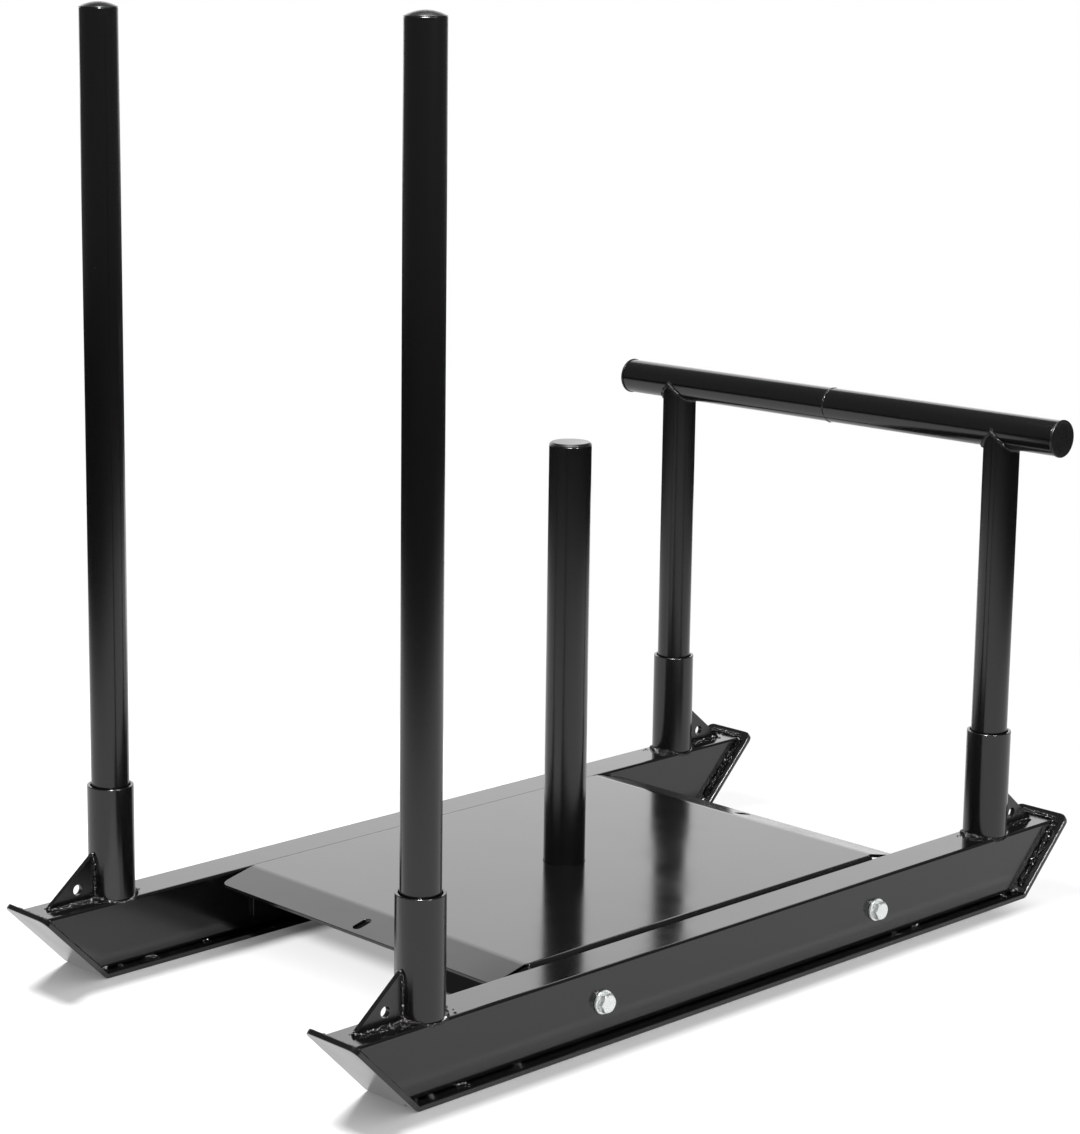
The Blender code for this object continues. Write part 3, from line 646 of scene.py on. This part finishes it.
def socket_welds(joint_name, end, beam_low, beam_high):
    """The ring round a socket's foot, and the beads along, up and across its gusset."""
    bm = bmesh.new()
    top = beam_high.z
    low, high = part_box(f"{joint_name}_socket")
    socket = (low + high) / 2
    radius = (high.x - low.x) / 2
    level = LEVEL_TOP * (beam_high.x - beam_low.x) / 2
    level_x = (socket.x - level, socket.x + level)

    def foot_ring(share):
        out = outward(share)
        place = Vector((socket.x, socket.y, top)) + out * radius
        place.z -= CORNER_SLOPE * max(0.0, abs(place.x - socket.x) - level)
        fullness = 1.0 - (1.0 - SOCKET_BEAD_THIN) * abs(out.x) ** 3
        return place, out * fullness, Vector((0, 0, fullness))

    bead(bm, foot_ring, radius * math.tau, SOCKET_BEAD, closed=True)
    spatter(bm, SOCKET_SPATTER, foot_ring, top, SOCKET_SPATTER_REACH, *level_x)

    gusset_low, gusset_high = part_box(f"{joint_name}_gusset")
    toe_y, seat_y = (gusset_low.y, gusset_high.y) if end < 0 else (gusset_high.y, gusset_low.y)
    for face_x, out_x in two_faces(gusset_low, gusset_high):
        foot, length = straight((face_x, seat_y, top), (face_x, toe_y + end * GUSSET_TOE_OVERRUN, top),
                                (out_x, 0, 0))
        bead(bm, foot, length, GUSSET_BEAD)
        spatter(bm, GUSSET_SPATTER, foot, top, GUSSET_SPATTER_REACH, *level_x)
        seat = straight((face_x, seat_y, top), (face_x, seat_y, gusset_high.z + GUSSET_SEAT_OVERRUN),
                        (out_x, 0, 0), (0, end, 0))
        bead(bm, *seat, GUSSET_SEAT_BEAD)
    cross_bead(bm, Vector((socket.x, toe_y, top + GUSSET_TOE_RISE)), GUSSET_TOE_HALF, GUSSET_TOE_BEAD)
    cross_bead(bm, Vector((socket.x, seat_y + end * GUSSET_HEAD_STEP, gusset_high.z)),
               GUSSET_HEAD_HALF, GUSSET_HEAD_BEAD)
    return bm


def ramp_welds(end, beam_low, beam_high):
    """The beads up both sides of a mitred end, with a blob at each of their ends, and two along its lip."""
    bm = bmesh.new()
    top, foot, drop = beam_high.z, beam_low.z, beam_high.z - beam_low.z
    middle_x, half_width = (beam_low.x + beam_high.x) / 2, (beam_high.x - beam_low.x) / 2
    lip_y = beam_low.y if end < 0 else beam_high.y
    heel_y = lip_y - end * drop
    run = RAMP_BEAD_SHARE * drop
    thinner = POLE_END_THINNER if end < 0 else 1.0
    for face_x, out_x in two_faces(beam_low, beam_high):
        seam = straight((face_x, lip_y, top), (face_x, lip_y - end * run, top - run),
                        (out_x, 0, 0), Vector((0, -end, 1)).normalized())
        bead(bm, *seam, RAMP_BEAD * thinner)
        cross_bead(bm, Vector((face_x - out_x * BLOB_INSET, lip_y - end * BLOB_SETBACK, top - BLOB_SINK)),
                   BLOB_HALF, BLOB, end)
        heel = straight((face_x, heel_y + end * HEEL_REACH, foot + HEEL_RISE),
                        (face_x, heel_y - end * HEEL_REACH, foot), (out_x, 0, 0))
        bead(bm, *heel, BLOB)
    for out_y, rise in LIP_BEAD_PLACES:
        cross_bead(bm, Vector((middle_x, lip_y + end * out_y, top + rise)), half_width - LIP_BEAD_SHORT,
                   LIP_BEAD * thinner, end)
    return bm


def skid_stitches(beam_low, beam_high):
    """Short beads between a beam and its skid, with drops of metal on the skid beside them."""
    bm = bmesh.new()
    foot = beam_low.z
    for middle_y, length in STITCHES:
        for face_x, out_x in two_faces(beam_low, beam_high):
            stitch, _ = straight((face_x, middle_y - length / 2, foot), (face_x, middle_y + length / 2, foot),
                                 (out_x, 0, 0))
            bead(bm, stitch, length, STITCH_BEAD)
            spatter(bm, STITCH_SPATTER, stitch, foot, STITCH_SPATTER_REACH,
                    *sorted((face_x, face_x + out_x * STITCH_SPATTER_REACH)))
    return bm


weld_coat = coated("weld_coat", Gloss_Low=0.06, Gloss_High=0.14, Peel_Scale=850.0, Peel_Height=5.0)


def weld_piece(name, bm, body):
    bmesh.ops.recalc_face_normals(bm, faces=bm.faces)
    add_piece(name, bm, weld_coat, body)


for side_name in SIDES:
    beam_low, beam_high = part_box(f"{side_name}_runner_beam")
    for end_name, end in ENDS.items():
        joint_name = f"{side_name}_{end_name}"
        weld_piece(f"{joint_name}_socket_welds", socket_welds(joint_name, end, beam_low, beam_high),
                   "sled")
        weld_piece(f"{joint_name}_ramp_welds", ramp_welds(end, beam_low, beam_high),
                   "sled")
    weld_piece(f"{side_name}_skid_stitches", skid_stitches(beam_low, beam_high), "sled")

# Deck: one steel sheet, folded down along both sides and bent down at both ends, with a slot in each end.
# It is bolted between the beams. Its bends are smooth and its edges are broken by the coat.
DECK_EDGE = 0.0005
deck_coat = coated("deck_coat", Gloss_Low=0.12, Gloss_High=0.17, Wave_Height=0.03)
add_piece("deck_coated", copied("deck"), deck_coat, "sled", "deck", DECK_EDGE)

# Weight post: a wider steel tube that stands in a hole of the deck, welded to its underside and coated
# like the poles. A turned black plastic plug with a bevelled rim closes its top.
POST_WALL = 0.003
POST_BEAD = 0.0055
CAP_EDGE = 0.0004
CAP_BLACK = (0.012, 0.012, 0.012, 1)
CAP_IOR = 1.5
post_low, post_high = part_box("weight_post")
post = (post_low + post_high) / 2
post_radius = (post_high.x - post_low.x) / 2


def post_ring(share):
    out = outward(share)
    return Vector((post.x, post.y, post_low.z)) + out * post_radius, out, Vector((0, 0, 1))


add_piece("weight_post_coated", upright_tube("weight_post", POST_WALL), tube_coat, "sled",
          "weight_post", RIM_EDGE)
bm = bmesh.new()
bead(bm, post_ring, post_radius * math.tau, POST_BEAD, closed=True)
weld_piece("weight_post_weld", bm, "sled")
cap_plastic = coated("cap_plastic", CAP_BLACK, CAP_IOR, Gloss_Low=0.22, Gloss_High=0.32, Dust_Amount=0.3)
add_piece("weight_post_plug", copied("weight_post_cap"), cap_plastic, "sled",
          "weight_post_cap", CAP_EDGE)

# Push poles: two long steel tubes under a smooth black coat, which drop loose into their sockets.
# Domed plastic plugs are pressed into their tops.
POLE_WALL = 0.003
for side_name in SIDES:
    node = f"{side_name}_push_pole"
    add_piece(f"{node}_coated", upright_tube(node, POLE_WALL), tube_coat, f"{side_name}_pole",
              node, RIM_EDGE)
    node = f"{side_name}_push_pole_cap"
    add_piece(f"{node}_plug", copied(node), cap_plastic, f"{side_name}_pole", node, CAP_EDGE)

# Push bar: a level grip of coated steel tube on two legs whose tops are coped to it and welded all round.
# The legs are loose in their sockets and flat round plastic plugs close the grip's ends.
COPE_GAP = 0.0003
SADDLE_BEAD = 0.0062
SADDLE_LENGTH = 8             # in radii of the grip
JOINT_BEAD = 0.0028
DISH_RIMS = ((0.0016, 0.0), (0.0014, -0.0004), (0.006, -0.0005))
grip_low, grip_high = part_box("push_bar_grip")
grip = (grip_low + grip_high) / 2
grip_radius = (grip_high.z - grip_low.z) / 2
grip_half = (grip_high.x - grip_low.x) / 2


def grip_ring(share):
    out = outward(share).zxy
    return grip + out * (grip_radius - JOINT_BEAD / 4), out, Vector((1, 0, 0))


def grip_underside(y, radius):
    """The height, at a place in Y, of the underside of a round bar on the grip's axis."""
    away = min(abs(y - grip.y), grip_radius)
    return grip.z - math.sqrt(radius ** 2 - away ** 2)


def saddle_weld(leg):
    """The saddle bead where a leg meets the grip."""
    def saddle(share):
        out = outward(share)
        place = leg + out * grip_radius
        place.z = grip_underside(place.y, grip_radius)
        return place, out, Vector((0, 0, 1))

    bm = bmesh.new()
    bead(bm, saddle, SADDLE_LENGTH * grip_radius, SADDLE_BEAD, closed=True)
    return bm


grip_coat = coated("grip_coat", Gloss_Low=0.12, Gloss_High=0.24, Wave_Scale=60.0, Drawn=(TUBE_DRAWN, 1, 1))
bm = turned_tube(grip_radius, POLE_WALL, -grip_half, grip_half, grip, lying=True)
add_piece("push_bar_grip_coated", bm, grip_coat, "push_bar", "push_bar_grip", RIM_EDGE)
bm = bmesh.new()
bead(bm, grip_ring, grip_radius * math.tau, JOINT_BEAD, closed=True)
weld_piece("grip_joint_bead", bm, "push_bar")
for side_name, side in SIDES.items():
    node = f"{side_name}_push_bar_leg"
    leg_low, leg_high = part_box(node)
    leg = (leg_low + leg_high) / 2
    bm = upright_tube(node, POLE_WALL)
    for vert in bm.verts:
        if vert.co.z > leg.z:
            vert.co.z = grip_underside(vert.co.y, grip_radius + COPE_GAP)
    add_piece(f"{node}_coated", bm, tube_coat, "push_bar", node)
    weld_piece(f"{side_name}_leg_weld", saddle_weld(leg), "push_bar")

    node = f"{side_name}_push_bar_cap"
    bm = copied(node)
    disc = max(bm.faces, key=lambda face: (round(side * face.calc_center_median().x, 4), face.calc_area()))
    for thickness, depth in DISH_RIMS:
        bmesh.ops.inset_region(bm, faces=[disc], thickness=thickness, depth=depth)
    add_piece(f"{node}_plug", bm, cap_plastic, "push_bar", node, CAP_EDGE)

# Deck bolts: zinc-plated steel hexagon bolts, washers and nuts that hold the deck between the beams.
# The plating is even and satin, with faint clouds.
PLATED_EDGE = 0.0003
ZINC_COLOUR = (0.89, 0.92, 0.91, 1)
ZINC_METALLIC = 0.62
ZINC_ROUGHNESS = (0.26, 0.42)
CLOUD_SCALE = 260.0
THREAD_PITCH = 0.00175
THREAD_DEPTH = 0.0010
THREAD_STEPS = 24
THREAD_START = 0.003          # inside the nut
TAIL_GAP = 0.0001


def cut_off(bm, *cuts):
    """Cuts away what lies past each plane, given by a place and a direction, and closes the cuts."""
    for place, direction in cuts:
        bmesh.ops.bisect_plane(bm, geom=bm.verts[:] + bm.edges[:] + bm.faces[:], plane_co=place,
                               plane_no=direction, clear_outer=True)
    bmesh.ops.holes_fill(bm, edges=[edge for edge in bm.edges if edge.is_boundary])
    bmesh.ops.recalc_face_normals(bm, faces=bm.faces)


def threaded_rod(radius, length):
    """A helical ridge wound round Z from zero to a length, closed at both ends."""
    turns = math.ceil(length / THREAD_PITCH) + 2
    bm = bmesh.new()
    ridge = ((radius - THREAD_DEPTH, 0), (radius, THREAD_PITCH / 2), (radius - THREAD_DEPTH, THREAD_PITCH))
    corners = [bm.verts.new((x, 0, z - THREAD_PITCH * 1.5)) for x, z in ridge]
    edges = [bm.edges.new(pair) for pair in zip(corners, corners[1:])]
    bmesh.ops.spin(bm, geom=corners + edges, axis=(0, 0, 1), cent=(0, 0, 0),
                   dvec=(0, 0, THREAD_PITCH / THREAD_STEPS), steps=THREAD_STEPS * turns,
                   angle=math.tau * turns)
    bmesh.ops.remove_doubles(bm, verts=bm.verts, dist=FINE_MERGE)
    cut_off(bm, ((0, 0, 0), (0, 0, -1)), ((0, 0, length), (0, 0, 1)))
    return bm


zinc = bpy.data.materials.new("zinc_plate")
zinc.use_nodes = True
tree = zinc.node_tree
shader = tree.nodes["Principled BSDF"]
shader.inputs["Base Color"].default_value = ZINC_COLOUR
shader.inputs["Metallic"].default_value = ZINC_METALLIC
place = tree.nodes.new("ShaderNodeTexCoord").outputs["Object"]
clouds = ramp_between(tree, texture_field(tree, place, CLOUD_SCALE), *NOISE_LIMITS, *ZINC_ROUGHNESS)
link(tree, clouds, shader.inputs["Roughness"])
for side_name, side in SIDES.items():
    for end_name in ENDS:
        fixing = f"{side_name}_{end_name}_deck"
        for part in ("outer_washer", "inner_washer", "nut"):
            node = f"{fixing}_{part}"
            add_piece(f"{node}_plated", copied(node), zinc, "sled", node, PLATED_EDGE)

        node = f"{fixing}_bolt"
        nut_low, nut_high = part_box(f"{fixing}_nut")
        bolt_low, bolt_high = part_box(node)
        middle = (bolt_low + bolt_high) / 2
        nut_face, tail_end = (nut_low.x, bolt_low.x) if side > 0 else (nut_high.x, bolt_high.x)
        cut_x = nut_face + side * THREAD_START
        bm = copied(node)
        cut_off(bm, ((cut_x, 0, 0), (-side, 0, 0)))
        add_piece(f"{node}_plated", bm, zinc, "sled", node, PLATED_EDGE)

        tail_top = max(vert.co.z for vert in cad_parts[node].data.vertices
                       if abs(vert.co.x - tail_end) < MERGE)
        bm = threaded_rod(tail_top - middle.z, abs(tail_end - cut_x) - TAIL_GAP)
        bmesh.ops.transform(bm, matrix=Matrix.Translation((cut_x - side * TAIL_GAP, middle.y, middle.z))
                            @ Matrix.Rotation(-side * math.pi / 2, 4, "Y"), verts=bm.verts)
        add_piece(f"{fixing}_bolt_thread", bm, zinc, "sled")
